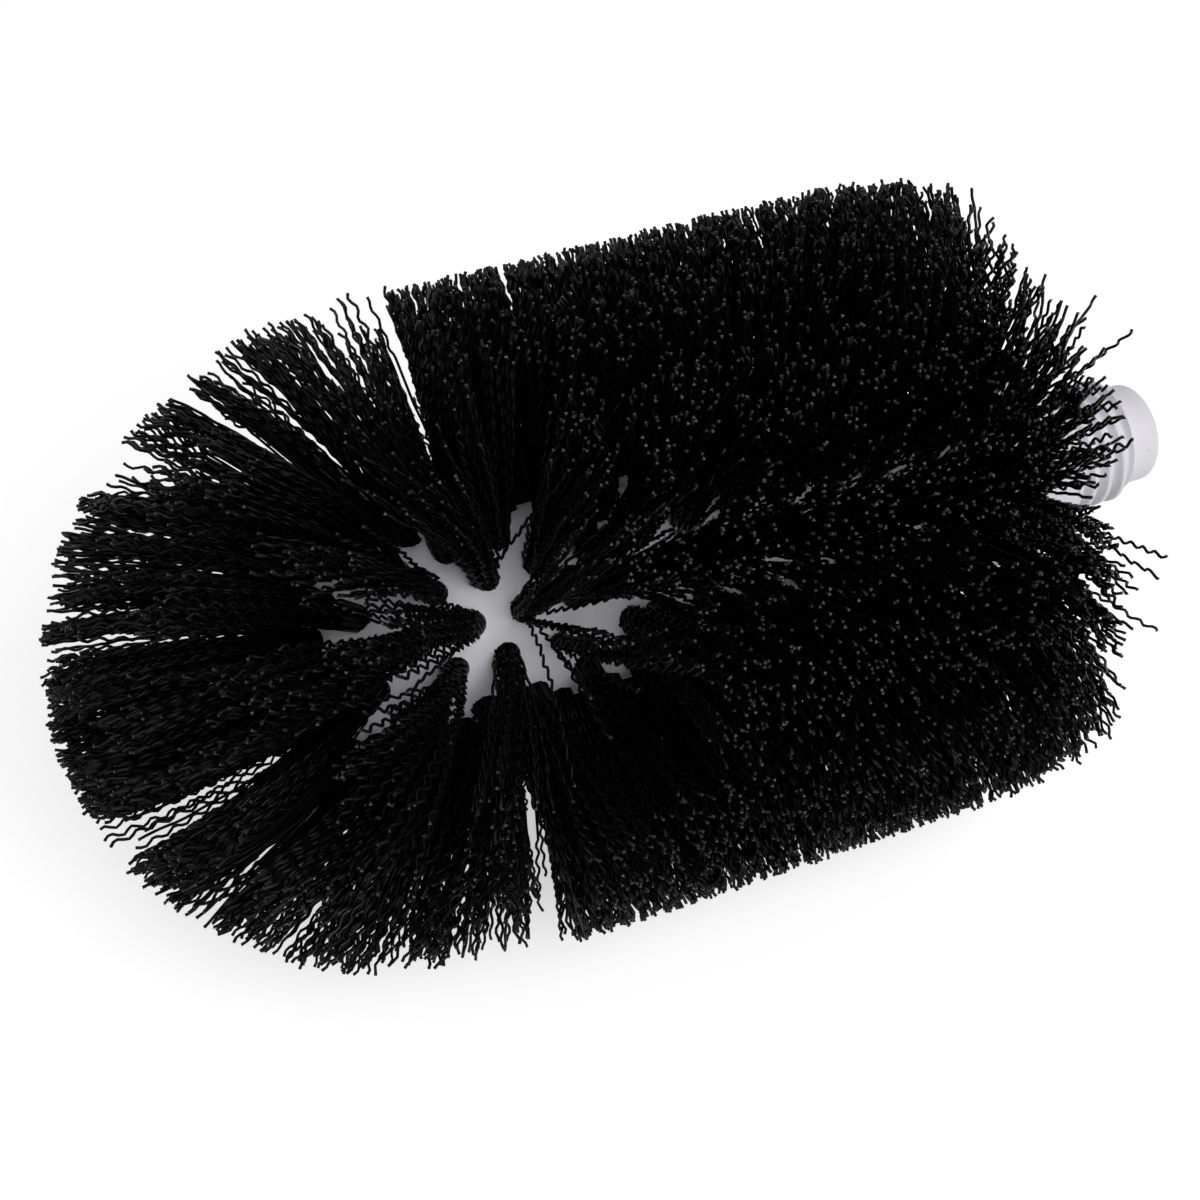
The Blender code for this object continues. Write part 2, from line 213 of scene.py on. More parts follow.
# A filament's tube: its sides, its radius in times the thickness, and how much wider its cut end is
TUBE_SIDES = 3
TUBE_RADIUS = 0.56
CUT_FLARE = 1.1
UV_COLUMNS = 32

# The crimp: how its phase, pitch and height vary, how long and high the slower wave is in times it, how far a
# filament bows, and over which length at the root the crimp fades
PHASE_SPREAD = 0.35
PITCH_SPREAD = 0.02
HEIGHT_RANGE = (0.75, 1.15)
SLOW_PITCH, SLOW_HEIGHT = 2.7, 0.3
BOW = 0.4 * MM
CRIMP_START = 1.5 * MM

# The stage
AIM = (-0.0054, 0.0, 0.0442)
LAMP_PLACE = (0.11, -0.79, 0.83)
LAMP_AIM = (0.0, 0.0, 0.05)
LAMP_SIZE = 0.8
FLOOR_GLOW = 0.56


# Places on the brush


def place(s, radius, up):
    """World points: s along the axis, radius from it, up the turn about it.

    x = s + equator, y = -radius cos(up), z = height + radius sin(up).
    """
    s, radius, up = np.broadcast_arrays(s, radius, up)
    return np.stack([EQUATOR_X + s, -radius * np.cos(up), AXIS_HEIGHT + radius * np.sin(up)], axis=-1)


def way(s, radius, up):
    """World ways: s along the axis and radius out from it, at the turn up."""
    return place(s, radius, up) - place(0.0, 0.0, 0.0)


def travel_of(points):
    """(travel, up) of the places on the outline that world points lie over."""
    s = points[..., 0] - EQUATOR_X
    across, height = -points[..., 1], points[..., 2] - AXIS_HEIGHT
    radius = np.hypot(across, height)
    ahead = (np.arctan2(radius, -s) - math.pi / 2) * BRISTLE_RADIUS
    return np.where(s > 0, s, ahead), np.arctan2(height, across)


def outline(travel):
    """(s, radius) on the trimmed outline, travel being the arc from the dome's equator, under 0 ahead of it.

    Over the dome's end it is a cylinder. Before it the radius is less by dip sin^2(polar), and ahead of the
    equator it goes on as a sphere of that radius r: s = -r cos(polar), distance from the axis r sin(polar).
    """
    polar = np.clip(math.pi / 2 + np.minimum(travel, 0.0) / BRISTLE_RADIUS, 0.0, math.pi / 2)
    radius = BRISTLE_RADIUS - np.where(travel < DOME_END, DOME_DIP * np.sin(polar) ** 2, 0.0)
    return np.maximum(travel, 0.0) - radius * np.cos(polar), radius * np.sin(polar)


def ring_place(ring):
    """How far along the axis a ring of tufts stands."""
    return (ring + 0.5) * TUFT_PITCH


def dome_travel(rings_ahead):
    """Where a dome ring's filaments end: the rings share the outline evenly up to the tip of the nose.

    Those of the last dome ring end further back, which opens a notch round the brush ahead of them.
    """
    first_straight = ring_place(DOME_RINGS)
    whole = first_straight + BRISTLE_RADIUS * math.pi / 2
    back = NOTCH if rings_ahead == 1 else 0.0
    return first_straight - whole * rings_ahead / (DOME_RINGS + len(NOSE_TUFTS)) + back


def nose_place(ring):
    """(s, radius, polar angle) of a ring on the half-round nose, 0 next to the equator.

    s = -r cos(polar), distance from the axis r sin(polar).
    """
    polar = math.pi / 2 - (ring + 0.5) * RING_STEP_ANGLE if NOSE_TUFTS[ring] > 1 else 0.0
    return -BLOCK_RADIUS * math.cos(polar), BLOCK_RADIUS * math.sin(polar), polar


def ring_turns(ring, count):
    """The turns of a ring's tufts. Odd rings stand half a spacing round from even ones."""
    return (np.arange(count) + ring % 2 / 2) * FULL_TURN / count


def tufts_of(node_name, settings):
    """The tufts that a CAD row carries."""
    count = settings.filaments_a_tuft
    if node_name == "tuft_row_nose_cap":
        return [t for ring in range(3, len(NOSE_TUFTS)) for t in nose_tufts(ring, count)]
    if node_name == "tuft_row_nose_collar":
        return [t for ring in range(3) for t in nose_tufts(ring, count)]
    row = int(node_name[-2:]) - 1
    return [t for ring in (2 * row, 2 * row + 1) for t in body_tufts(ring, count)]


def body_tufts(ring, count):
    """The eight tufts of a ring on the block's straight part, and the ring's strays."""
    dome, s = ring < DOME_RINGS, ring_place(ring) / MM
    habit = {"s": s, "travel": dome_travel(DOME_RINGS - ring) / MM if dome else s, "count": count}
    habit.update(DOME if dome else {**STRAIGHT, **REAR.get(ring, {})})
    made = []
    for up in ring_turns(ring, TUFTS_AROUND):
        degrees = round(math.degrees(up), 1)
        own = ODD_TUFTS.get((ring, degrees), {})
        odd = {**habit, "up": degrees, "end_up": degrees, **own}
        s, up = odd["s"] * MM, math.radians(odd["up"])
        detail = detail_of(ring, degrees, s, up, "travel" in own)
        if detail == OPEN:
            odd["count"] = count if ring < FIRST_FULLER_RING else round(count * FULLER)
        made.append(tuft_of(s, BLOCK_RADIUS, up, math.pi / 2, detail, odd))
    return made + [stray_filament(*stray) for stray in STRAYS if stray[0] == ring]


def detail_of(ring, degrees, s, up, moved):
    """How finely a tuft of the straight part is drawn."""
    dome = ring < DOME_RINGS
    aside = (up - PATCH[1]) * BLOCK_RADIUS
    if math.hypot(s - PATCH[0], aside) < FINE_REACH or moved and degrees < FINE_UP:
        return FINE
    low = degrees < OPEN_UP[0] or degrees > 310
    if OPEN_UP[0] < degrees < OPEN_UP[1] and not dome or ring in RINGS_BELOW_PATCH and low:
        return OPEN
    return MIDDLE if (dome or ring in REAR) and degrees < SEEN_UP else COARSE


def tuft_of(s, radius, up, polar, detail, habit):
    """A tuft as a dict in metres and radians, from its place and its habit in mm and degrees."""
    lengths = {key: habit[key] * MM for key in ("travel", "along", "short", "ragged")}
    turns = {key: math.radians(habit[key]) for key in ("end_up", "round")}
    others = {"scatter": habit["scatter"], "count": habit["count"], "detail": detail}
    return {"s": s, "radius": radius, "up": up, "polar": polar, **lengths, **turns, **others}


def stray_filament(ring, root_up, end, end_up):
    """One filament that stands clear of the others, as a tuft of its own."""
    habit = {"travel": end, "end_up": end_up, **STRAY}
    return tuft_of(ring_place(ring), BLOCK_RADIUS, math.radians(root_up), math.pi / 2, FINE, habit)


def nose_tufts(ring, count):
    """The tufts of a ring on the half-round nose."""
    s, radius, polar = nose_place(ring)
    around = NOSE_TUFTS[ring]
    made = []
    for up in ring_turns(ring, around):
        degrees = math.degrees(up)
        habit = {"travel": dome_travel(DOME_RINGS + ring + 1) / MM, "end_up": degrees, "count": count, **DOME}
        habit["round"] *= TUFTS_AROUND / max(around, 2)
        detail = MIDDLE if degrees < SEEN_UP or ring > 2 else COARSE
        made.append(tuft_of(s, radius, up, polar, detail, habit))
    return made


# Filaments


def disc_points(count):
    """Points spread evenly over a unit disc: radius sqrt(k / n), turned by the golden angle each."""
    k = np.arange(count) + 0.5
    turn = k * math.pi * (3 - math.sqrt(5))
    return np.sqrt(k / count)[:, None] * np.stack([np.cos(turn), np.sin(turn)], axis=-1)


def unit(v):
    """The vectors scaled to length 1."""
    return v / np.maximum(np.linalg.norm(v, axis=-1, keepdims=True), 1e-12)


def bunched(disc, pull, rng):
    """The disc's points drawn part of the way to the nearest of six knots, which makes strands in a tuft."""
    count, unevenness = 6, 0.12
    knots = disc_points(count) + rng.normal(0, unevenness, (count, 2))
    near = np.argmin(np.linalg.norm(disc[:, None] - knots, axis=-1), axis=1)
    return disc + (knots[near] - disc) * pull


def tuft_ends(tuft, settings, rng):
    """Where one tuft's filaments start, the way they set out, where they end and how much shorter each is.

    The point of the unit disc that sets a filament's start in the hole also sets its end in the spread, so
    they fan out and don't cross.
    """
    count = tuft["count"]
    turn = rng.uniform(0, FULL_TURN)
    cos, sin = math.cos(turn), math.sin(turn)
    disc = disc_points(count) @ np.array([[cos, sin], [-sin, cos]])
    jitter = rng.normal(0.0, 1.0, (count, 3))
    out = np.array([-math.cos(tuft["polar"]), math.sin(tuft["polar"])])
    forward = np.array([math.sin(tuft["polar"]), math.cos(tuft["polar"])])
    sunk = 0.8 * MM
    room = HOLE_RADIUS * min(1.0, math.sqrt(count / settings.filaments_a_tuft)) - settings.thickness * 0.1
    s = tuft["s"] - out[0] * sunk + forward[0] * disc[:, 0] * room
    radius = tuft["radius"] - out[1] * sunk + forward[1] * disc[:, 0] * room
    start = place(s, radius, tuft["up"])
    start += disc[:, 1:2] * room * np.array([0.0, math.sin(tuft["up"]), math.cos(tuft["up"])])
    way_out = way(out[0], out[1], tuft["up"])

    disc = bunched(disc, 0.3, rng)
    scatter = RANDOM_SPREAD * tuft["scatter"]
    if tuft["polar"] == 0.0:
        travel = np.hypot(disc[:, 0], disc[:, 1]) * tuft["along"] * TIP_SPREAD - BRISTLE_RADIUS * math.pi / 2
        end_up = np.arctan2(disc[:, 1], disc[:, 0])
    else:
        travel = tuft["travel"] + disc[:, 0] * tuft["along"] + jitter[:, 0] * scatter
        end_up = tuft["end_up"] + disc[:, 1] * tuft["round"] + jitter[:, 1] * scatter / BRISTLE_RADIUS
    end = place(*outline(travel), end_up)
    short = tuft["short"] + np.abs(jitter[:, 2]) * tuft["ragged"]
    return start, np.broadcast_to(way_out, start.shape), end, short


def middle_lines(start, way_out, end, steps):
    """Uncrimped lines, (filament, step, 3): (1-u)^2 start + 2u(1-u) knee + u^2 end.

    The knee lies 0.42 of the length along a way made of 0.45 of the hole's and 0.55 of the end's.
    """
    length = np.linalg.norm(end - start, axis=-1, keepdims=True)
    ahead = (end - start) / length
    knee = start + unit(way_out * 0.45 + ahead * 0.55) * length * 0.42
    u = steps[None, :, None]
    return (1 - u) ** 2 * start[:, None] + 2 * u * (1 - u) * knee[:, None] + u**2 * end[:, None]


def cleft_wedge(first, second, widths):
    """A cleft's plane through the eye.

    Returns its normal, the way to its one end, the way square to both, the angle between its ends, half its
    widths a metre away and how far its one end is.
    """
    ends = []
    for s, up in (first, second):
        radius = math.sqrt(BRISTLE_RADIUS**2 - min(s * MM, 0.0) ** 2)
        ends.append(place(s * MM, radius, math.radians(up)) - np.array(EYE))
    away = [np.linalg.norm(end) for end in ends]
    one, other = ends[0] / away[0], ends[1] / away[1]
    normal = unit(np.cross(one, other))
    half = np.array(widths) * MM / 2 / away[0]
    return normal, one, np.cross(normal, one), math.acos(one @ other), half, away[0]


def part_at_clefts(start, way_out, end, tuft, rng):
    """The filaments' ends, moved sideways until few filaments lie in a cleft.

    A point is seen in a cleft if it lies between the cleft's two ends, is nearer to its plane than half its
    width, and isn't deeper than the cleft goes. A filament belongs to the side where its tuft's root is, or
    where its own end is if the root is close to the plane. With w the half width and d the distance from the
    plane on that side, a point moves by w (1 - d / 3w), or by w - d if it is on the wrong side, so that
    filaments crowd evenly beside the cleft. A point at a share u of its length moves about u as far as its
    end, so the end moves by the largest of these / u. Two more rounds move what is still in a cleft to its
    edge. A few filaments stay, and cross the cleft.
    """
    luck = rng.uniform(0, 1, len(end))
    loose = rng.exponential(0.3 * MM, len(end))[:, None] + 0.15 * MM
    roots = np.stack([np.bincount(tuft, start[:, axis]) for axis in range(3)], axis=-1)
    roots = (roots / np.bincount(tuft)[:, None])[tuft] - EYE
    wedges = [(*cleft_wedge(*ends), *kind) for *ends, kind in CLEFTS]
    for crowd in CROWDING:
        for normal, one, ahead, whole, half, near, deep, own_side, inner, crossing in wedges:
            steps = np.linspace(inner, 1.0, 8)
            points = middle_lines(start, way_out, end, steps) - EYE
            far = np.linalg.norm(points, axis=-1)
            share = np.arctan2(points @ ahead, points @ one) / whole
            room = (half[0] + (half[1] - half[0]) * np.clip(share, 0, 1)) * far + loose
            own = np.abs(roots @ normal) < own_side * MM
            side = np.where(np.where(own, (end - EYE) @ normal, roots @ normal) < 0, -1.0, 1.0)
            off = side[:, None] * (points @ normal)
            lack = room - np.where(off < 0, off, off / crowd)
            lack = np.where((share > 0) & (share < 1) & (far < near + deep * MM), np.maximum(lack, 0), 0.0)
            shift = np.minimum((lack / steps).max(axis=1), LARGEST_SHIFT) * (luck > crossing)
            end = place_on_outline(end + (shift * side)[:, None] * normal)
    return end


def place_on_outline(points):
    """The places on the outline that these points lie over."""
    travel, up = travel_of(points)
    return place(*outline(travel), up)


def filaments_of(tufts, settings, rng):
    """Where all the filaments of these tufts start, the way they set out, where they end, and their tuft.

    The clefts part all but the strays.
    """
    each = [tuft_ends(t, settings, rng) for t in tufts]
    start, way_out, end, short = (np.concatenate(part) for part in zip(*each))
    tuft = np.repeat(np.arange(len(tufts)), [t["count"] for t in tufts])
    stray = np.bincount(tuft)[tuft] == 1
    end = np.where(stray[:, None], end, part_at_clefts(start, way_out, end, tuft, rng))
    return start, way_out, end - unit(end - start) * short[:, None], tuft


def crimped_lines(start, way_out, end, tuft, steps, settings, rng):
    """Centre lines of filaments, (filament, step, 3), and the side to which each is crimped.

    The crimp adds height * sin(2 pi length / pitch + phase) to one side. Neighbours in a tuft are near in
    phase at the root, and drift apart as their pitches differ. A slower, lower wave and a bow go square to
    it.
    """
    count, tufts = len(start), tuft[-1] + 1
    length = np.linalg.norm(end - start, axis=-1, keepdims=True)
    ahead = (end - start) / length
    lines = middle_lines(start, way_out, end, steps)
    phase = rng.uniform(0, FULL_TURN, tufts)[tuft] + rng.normal(0, PHASE_SPREAD, count)
    tilt = rng.uniform(0, FULL_TURN, tufts)[tuft] + rng.normal(0, PHASE_SPREAD, count)
    pitch = settings.crimp_pitch * (1 + rng.normal(0, PITCH_SPREAD, count))
    height = settings.crimp_height * rng.uniform(*HEIGHT_RANGE, count)
    flat = unit(np.cross(ahead, np.array([0.31, 0.52, 0.79])))
    other = np.cross(ahead, flat)
    side = flat * np.cos(tilt)[:, None] + other * np.sin(tilt)[:, None]
    across = np.cross(ahead, side)
    run = steps[None, :] * length
    fade = np.clip(run / CRIMP_START, 0, 1)
    wave = np.sin(FULL_TURN * run / pitch[:, None] + phase[:, None]) * height[:, None] * fade
    roll = np.sin(FULL_TURN * run / (pitch[:, None] * SLOW_PITCH) + 2 * phase[:, None])
    roll *= height[:, None] * SLOW_HEIGHT * fade
    bow = np.sin(math.pi * np.minimum(steps, 1.0))[None, :] * rng.normal(0, BOW, (count, 1))
    lines += wave[..., None] * side[:, None] + (roll + bow)[..., None] * across[:, None]
    lines[..., 2] = np.maximum(lines[..., 2], settings.thickness * 0.62)
    return lines, side


def tube_corners(lines, side, thickness):
    """Corners of thin tubes, (filament, step, side, 3): each step's ring stands square to the line there.

    The last step is a little wider, as a cut crimped end is.
    """
    along = unit(np.gradient(lines, axis=1))
    across = unit(np.cross(along, side[:, None]))
    outwards = np.cross(across, along)
    turn = FULL_TURN * np.arange(TUBE_SIDES) / TUBE_SIDES
    radius = np.full(lines.shape[1], thickness * TUBE_RADIUS)
    radius[-1] *= CUT_FLARE
    ring = outwards[:, :, None] * np.cos(turn)[:, None] + across[:, :, None] * np.sin(turn)[:, None]
    return lines[:, :, None] + ring * radius[None, :, None, None]


def tube_faces(count, steps, first):
    """Faces of tubes as (quads, root triangles, tip triangles), numbered from first."""
    f = np.arange(count)[:, None, None] * steps * TUBE_SIDES
    i = np.arange(steps - 1)[None, :, None] * TUBE_SIDES
    k = np.arange(TUBE_SIDES)[None, None, :]
    after = (k + 1) % TUBE_SIDES
    here, ahead = first + f + i, first + f + i + TUBE_SIDES
    quads = np.stack([here + k, here + after, ahead + after, ahead + k], axis=-1).reshape(-1, 4)
    base = first + np.arange(count)[:, None] * steps * TUBE_SIDES
    return quads, base + np.array([2, 1, 0]), base + (steps - 1) * TUBE_SIDES + np.array([0, 1, 2])


def tube_uvs(count, steps, first, rows):
    """Texture places of the same faces: each filament has its own cell of a grid.

    Its sides lie side by side there, with its root end below them and its cut end above.
    """
    number = first + np.arange(count)
    corner = np.stack([number % UV_COLUMNS, number // UV_COLUMNS], axis=-1).astype(float)
    size = np.array([1 / UV_COLUMNS, 1 / rows])
    i, k = np.arange(steps - 1)[:, None], np.arange(TUBE_SIDES)[None, :]
    u0, u1 = 0.08 + 0.84 * k / TUBE_SIDES + 0 * i, 0.08 + 0.84 * (k + 1) / TUBE_SIDES + 0 * i
    v0, v1 = 0.12 + 0.74 * i / (steps - 1) + 0 * k, 0.12 + 0.74 * (i + 1) / (steps - 1) + 0 * k
    quads = np.stack([u0, v0, u1, v0, u1, v1, u0, v1], axis=-1).reshape(-1, 4, 2)
    root = np.array([(0.8, 0.07), (0.5, 0.02), (0.2, 0.07)])
    tip = np.array([(0.2, 0.9), (0.8, 0.9), (0.5, 0.97)])
    return [((corner[:, None, None] + part) * size).reshape(-1, 2) for part in (quads, root[None], tip[None])]


def mesh_of(name, corners, quads, triangles, uvs, smooth=(True, False)):
    """A mesh from corner places, four-sided faces, then three-sided ones, each kind smooth or flat."""
    mesh = bpy.data.meshes.new(name)
    loops = np.concatenate([quads.ravel(), triangles.ravel()]).astype(np.int32)
    kinds = [len(quads), len(triangles)]
    sizes = np.repeat([4, 3], kinds)
    starts = np.concatenate([[0], np.cumsum(sizes)[:-1]]).astype(np.int32)
    mesh.vertices.add(len(corners))
    mesh.vertices.foreach_set("co", np.ascontiguousarray(corners, dtype=np.float32).ravel())
    mesh.loops.add(len(loops))
    mesh.loops.foreach_set("vertex_index", loops)
    mesh.polygons.add(len(sizes))
    mesh.polygons.foreach_set("loop_start", starts)
    mesh.polygons.foreach_set("use_smooth", np.repeat(smooth, kinds))
    mesh.update(calc_edges=True)
    layer = mesh.uv_layers.new(name="OFBake")
    layer.data.foreach_set("uv", np.ascontiguousarray(uvs, dtype=np.float32).ravel())
    return mesh


def face_values(mesh, name, values):
    """Stores one number a face."""
    layer = mesh.attributes.new(name, "FLOAT", "FACE")
    layer.data.foreach_set("value", np.ascontiguousarray(values, dtype=np.float32))


def steps_of(detail, settings):
    """The shares of a filament's length where its rings of corners lie: few where others hide it."""
    waves = FILAMENT_LENGTH / settings.crimp_pitch
    if detail == FINE:
        return np.linspace(0, 1, int(STEPS_A_WAVE[FINE] * waves))
    if detail == OPEN:
        return np.concatenate([[0.0], np.linspace(0.14, 1, int(STEPS_A_WAVE[OPEN] * waves * 0.86))])
    seen = 0.48 if detail == MIDDLE else 0.24
    hidden = int(STEPS_A_WAVE[MIDDLE] * waves * 0.32) if detail == MIDDLE else 4
    inner = np.linspace(0.2, 1 - seen, hidden)[:-1]
    return np.concatenate([[0.0], inner, np.linspace(1 - seen, 1, int(TIP_STEPS_A_WAVE * waves * seen) + 1)])


def filament_mesh(name, node_name, settings, rng):
    """One row's filaments as a mesh, each tuft with the detail that it is given."""
    tufts = tufts_of(node_name, settings)
    rows = math.ceil(sum(t["count"] for t in tufts) / UV_COLUMNS)
    corners, quads, caps, uvs, cap_uvs, shades, cap_shades, cuts = [], [], [], [], [], [], [], []
    first = drawn = 0
    for detail in (FINE, OPEN, MIDDLE, COARSE):
        group = [t for t in tufts if t["detail"] == detail]
        if not group:
            continue
        start, way_out, end, tuft = filaments_of(group, settings, rng)
        steps = steps_of(detail, settings)
        lines, side = crimped_lines(start, way_out, end, tuft, steps, settings, rng)
        made = tube_corners(lines, side, settings.thickness)
        count = len(start)
        sides, root, tip = tube_faces(count, len(steps), first)
        side_uvs, root_uvs, tip_uvs = tube_uvs(count, len(steps), drawn, rows)
        tone = rng.uniform(0, 1, count)
        corners.append(made.reshape(-1, 3))
        quads.append(sides)
        caps += [root, tip]
        uvs.append(side_uvs)
        cap_uvs += [root_uvs, tip_uvs]
        shades.append(np.repeat(tone, (len(steps) - 1) * TUBE_SIDES))
        cap_shades += [tone, tone]
        cuts += [np.zeros(count), np.ones(count)]
        first += made.size // 3
        drawn += count
    quads = np.concatenate(quads)
    mesh = mesh_of(name, np.concatenate(corners), quads, np.concatenate(caps), np.concatenate(uvs + cap_uvs))
    face_values(mesh, "cut_end", np.concatenate([np.zeros(len(quads)), *cuts]))
    face_values(mesh, "shade", np.concatenate(shades + cap_shades))
    return mesh


# The block


def hole_places():
    """Every hole of the block: its mouth (s, radius, up), polar angle, depth, ring and radius."""
    rows = []
    for ring in range(BODY_RINGS):
        for up in ring_turns(ring, TUFTS_AROUND):
            odd = ODD_TUFTS.get((ring, round(math.degrees(up), 1)), {})
            s = odd.get("s", ring_place(ring) / MM) * MM
            up = math.radians(odd.get("up", math.degrees(up)))
            size = HOLE_RADIUS * math.sqrt(odd.get("count", FULL_TUFT) / FULL_TUFT)
            rows.append((s, BLOCK_RADIUS, up, math.pi / 2, HOLE_DEPTH, ring, size))
    for ring, around in enumerate(NOSE_TUFTS):
        s, radius, polar = nose_place(ring)
        for up in ring_turns(ring, around):
            rows.append((s, radius, up, polar, NOSE_HOLE_DEPTH, -1 - ring, HOLE_RADIUS))
    return np.array(rows)


def level(s, radius):
    """Rows of (s, radius) at one distance from the axis."""
    return np.stack([s, np.full(len(s), radius)], axis=-1)


def rounded(s, radius, size, steps):
    """Rows of (s, radius) round an edge: size (cos(turn), sin(turn)) from a middle that far inside it."""
    turn = np.linspace(math.pi / 2, 0, steps)[1:]
    edge = np.stack([np.cos(turn), np.sin(turn)], axis=-1) * size
    return edge + np.array([s - size, radius - size])


def block_profile():
    """The block's outline as rows of (s, radius) from the nose to the pilot's end, without the two poles."""
    polar = np.linspace(0, math.pi / 2, 50)[1:-1]
    nose = np.stack([-BLOCK_RADIUS * np.cos(polar), BLOCK_RADIUS * np.sin(polar)], axis=-1)
    s = np.arange(0, BODY_RINGS * STEPS_A_RING + 1) * TUFT_PITCH / STEPS_A_RING
    straight = np.concatenate([s, np.linspace(s[-1], SHOULDER_X - EDGE_ROUND, 6)[1:]])
    relief = SHOULDER_X - SEAT_RELIEF
    rim, corner, foot = 0.15 * MM, 0.1 * MM, 0.2 * MM
    face = [
        (SHOULDER_X, SEAT_RADIUS + rim),
        (SHOULDER_X - rim, SEAT_RADIUS),
        (relief + corner, SEAT_RADIUS),
        (relief, SEAT_RADIUS - corner),
        (relief, THREAD_ROOT + foot),
        (relief + foot, THREAD_ROOT),
    ]
    thread = np.linspace(SHOULDER_X, PILOT_X, int((PILOT_X - SHOULDER_X) / THREAD_STEP))
    return np.concatenate(
        [
            nose,
            level(straight, BLOCK_RADIUS),
            rounded(SHOULDER_X, BLOCK_RADIUS, EDGE_ROUND, 6),
            face,
            level(thread, THREAD_ROOT),
            level(np.linspace(PILOT_X + corner, END_X - PILOT_ROUND, 8), PILOT_RADIUS),
            rounded(END_X, PILOT_RADIUS, PILOT_ROUND, 12),
            [(END_X, 4.0 * MM), (END_X, 1.5 * MM)],
        ]
    )


def thread_height(s, up):
    """How far the thread stands over its root: a ridge with sloping sides along a helix of its pitch.

    The ridge's middle is where s / pitch + up / turn is whole, its height falls off smoothly from its
    crest to its foot, and it fades near both ends.
    """
    turns = (s - SHOULDER_X) / THREAD_PITCH + (up - math.pi) / FULL_TURN
    off = np.abs(turns - np.round(turns)) * THREAD_PITCH
    slope = np.clip((THREAD_FOOT - off) / THREAD_FLANK, 0, 1)
    slope = slope * slope * (3 - 2 * slope)
    front, rear, lead = 0.3 * MM, 0.15 * MM, 0.8 * MM
    fade = np.clip((s - SHOULDER_X - front) / lead, 0, 1)
    fade *= np.clip((PILOT_X - rear - s) / lead, 0, 1)
    return (THREAD_RADIUS - THREAD_ROOT) * slope * fade


def drill(points, middles):
    """Sinks the corners of a (row, column, 3) grid that lie in a hole's mouth, and rounds its rim.

    A corner nearer to the hole's axis than its radius sinks by the hole's depth towards the block's middle.
    Its neighbours outside, eight round each corner, are moved straight on to the hole's circle.
    """
    sink = np.zeros(points.shape[:2])
    for s, radius, up, polar, depth, _, size in hole_places():
        out = way(-math.cos(polar), math.sin(polar), up)
        away = points - place(s, radius, up)
        height = away @ out
        aside = away - height[..., None] * out
        distance = np.linalg.norm(aside, axis=-1)
        inside = (height > -2 * MM) & (distance < size)
        beside = inside | np.roll(inside, 1, axis=1) | np.roll(inside, -1, axis=1)
        grown = beside.copy()
        grown[1:] |= beside[:-1]
        grown[:-1] |= beside[1:]
        rim = grown & ~inside
        points[rim] += aside[rim] * (size / distance[rim] - 1)[:, None]
        sink[inside] = depth
    return points - unit(points - middles) * sink[..., None]


def block_mesh(name):
    """The block turned from its profile, its thread raised by formula and its holes drilled."""
    profile = block_profile()
    rows, columns = len(profile), BLOCK_COLUMNS
    up = np.arange(columns) * FULL_TURN / columns
    s = np.repeat(profile[:, :1], columns, axis=1)
    radius = np.repeat(profile[:, 1:], columns, axis=1)
    turn = np.broadcast_to(up, s.shape)
    on_thread = (s > SHOULDER_X) & (s < PILOT_X)
    radius = radius + np.where(on_thread, thread_height(s, turn), 0.0)
    points = place(s, radius, turn)
    drilled = int(np.argmax(s[:, 0] > (BODY_RINGS + 0.2) * TUFT_PITCH))
    points[:drilled] = drill(points[:drilled], place(np.maximum(s, 0.0), 0.0, 0.0)[:drilled])
    poles = [place(-BLOCK_RADIUS + NOSE_HOLE_DEPTH, 0.0, 0.0), place(END_X, 0.0, 0.0)]
    i, k = np.arange(rows - 1)[:, None], np.arange(columns)[None, :]
    after = (k + 1) % columns
    here, next_row = i * columns, (i + 1) * columns
    quads = np.stack([here + k, next_row + k, next_row + after, here + after], axis=-1).reshape(-1, 4)
    last = (rows - 1) * columns
    k, after = k[0], after[0]
    nose = np.stack([np.full(columns, rows * columns), k, after], axis=-1)
    end = np.stack([np.full(columns, rows * columns + 1), last + after, last + k], axis=-1)
    u0, u1 = k / columns + 0 * i, (k + 1) / columns + 0 * i
    v0, v1 = (i + 1) / (rows + 1) + 0 * k, (i + 2) / (rows + 1) + 0 * k
    uvs = np.stack([u0, v0, u0, v1, u1, v1, u1, v0], axis=-1).reshape(-1, 2)
    u, low, high = k / columns, 1 / (rows + 1), rows / (rows + 1)
    middle, beside, none = u + 0.5 / columns, u + 1 / columns, 0 * u
    nose_uvs = np.stack([middle, none, u, none + low, beside, none + low], axis=-1).reshape(-1, 2)
    end_uvs = np.stack([middle, none + 1, beside, none + high, u, none + high], axis=-1).reshape(-1, 2)
    corners = np.concatenate([points.reshape(-1, 3), poles])
    uvs = np.concatenate([uvs, nose_uvs, end_uvs])
    mesh = mesh_of(name, corners, quads, np.concatenate([nose, end]), uvs, smooth=(True, True))
    mesh.set_sharp_from_angle(angle=SHARP)
    return mesh


